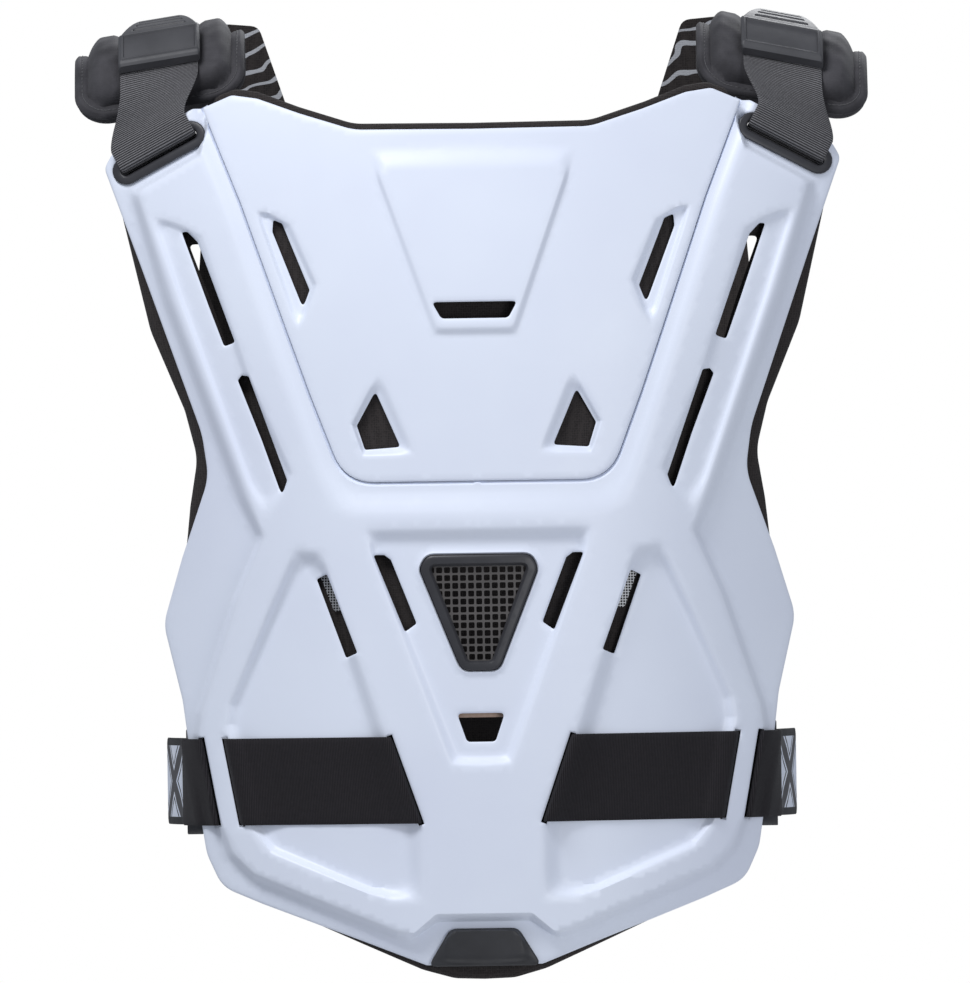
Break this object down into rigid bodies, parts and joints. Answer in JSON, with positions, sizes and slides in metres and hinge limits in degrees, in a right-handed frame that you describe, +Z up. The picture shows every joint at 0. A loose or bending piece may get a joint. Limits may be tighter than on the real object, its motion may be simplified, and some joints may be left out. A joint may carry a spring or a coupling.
{
  "type": "roost deflector",
  "caption": "Moulded chest and back guard with foam liner, padded shoulder straps and elastic side straps, held as worn.",
  "frame": {"origin": "midway between the undersides of the two shoulder pads, where the guard rests on the shoulders", "axes": "+Z up, -Y is the chest side, +X is the viewer's right when looking at the chest"},
  "size_m": [0.438, 0.2424, 0.5344],
  "materials": {
    "shell": "satin moulded plastic",
    "foam": "black foam with bound cloth",
    "trim": "black moulded nylon",
    "rubber": "matt moulded rubber",
    "webbing": "ribbed black webbing",
    "elastic": "woven black elastic",
    "patterned": "grey, white and black patterned webbing",
    "padding": "stretched black cloth over foam, bound and stitched",
    "mesh": "dark moulded mesh"
  },
  "bodies": {
    "root": {"front_shell": "shell", "chest_plate": "shell", "back_shell": "shell", "front_liner": "foam", "back_liner": "foam", "vent_frame": "trim", "vent_mesh": "mesh", "lower_badge": "rubber", "strap_ring_left": "trim", "strap_ring_right": "trim", "back_ring_left": "trim", "back_ring_right": "trim", "shoulder_pad_left": "padding", "shoulder_pad_right": "padding", "shoulder_strap_left": "webbing", "shoulder_strap_right": "webbing", "strap_keeper_left": "rubber", "strap_keeper_right": "rubber", "elastic_band_left": "elastic", "elastic_band_right": "elastic", "buckle_socket_left": "trim", "buckle_socket_right": "trim", "buckle_prong_left": "trim", "buckle_prong_right": "trim", "side_strap_left": "patterned", "side_strap_right": "patterned"}
  },
  "joints": []
}
